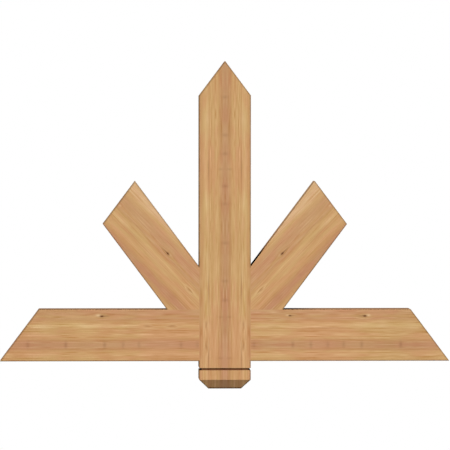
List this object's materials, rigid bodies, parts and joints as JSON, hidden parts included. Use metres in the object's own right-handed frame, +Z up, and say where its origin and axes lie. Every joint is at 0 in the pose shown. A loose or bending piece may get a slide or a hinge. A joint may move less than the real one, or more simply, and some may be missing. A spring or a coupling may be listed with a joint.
{
  "type": "decorative gable truss",
  "caption": "Flush timber gable ornament: peaked king post with a grooved, chamfered pendant, a bottom chord and raking struts, all cut to the roof pitch to fix under a gable.",
  "frame": {"origin": "mid span, on the king post's back face, level with the underside of the bottom chord", "axes": "+X to the right seen from the front, +Y out of the back face towards the wall, +Z up"},
  "size_m": [1.2192, 0.0889, 0.889],
  "materials": {
    "cedar": "matte",
    "dowel_hardwood": "matte"
  },
  "bodies": {
    "root": {"king_post": "cedar", "left_chord": "cedar", "right_chord": "cedar", "left_strut": "cedar", "right_strut": "cedar", "left_chord_lower_dowel": "dowel_hardwood", "left_strut_lower_dowel": "dowel_hardwood", "left_chord_upper_dowel": "dowel_hardwood", "left_strut_upper_dowel": "dowel_hardwood", "left_foot_front_dowel": "dowel_hardwood", "left_foot_back_dowel": "dowel_hardwood", "right_chord_lower_dowel": "dowel_hardwood", "right_strut_lower_dowel": "dowel_hardwood", "right_chord_upper_dowel": "dowel_hardwood", "right_strut_upper_dowel": "dowel_hardwood", "right_foot_front_dowel": "dowel_hardwood", "right_foot_back_dowel": "dowel_hardwood"}
  },
  "joints": []
}
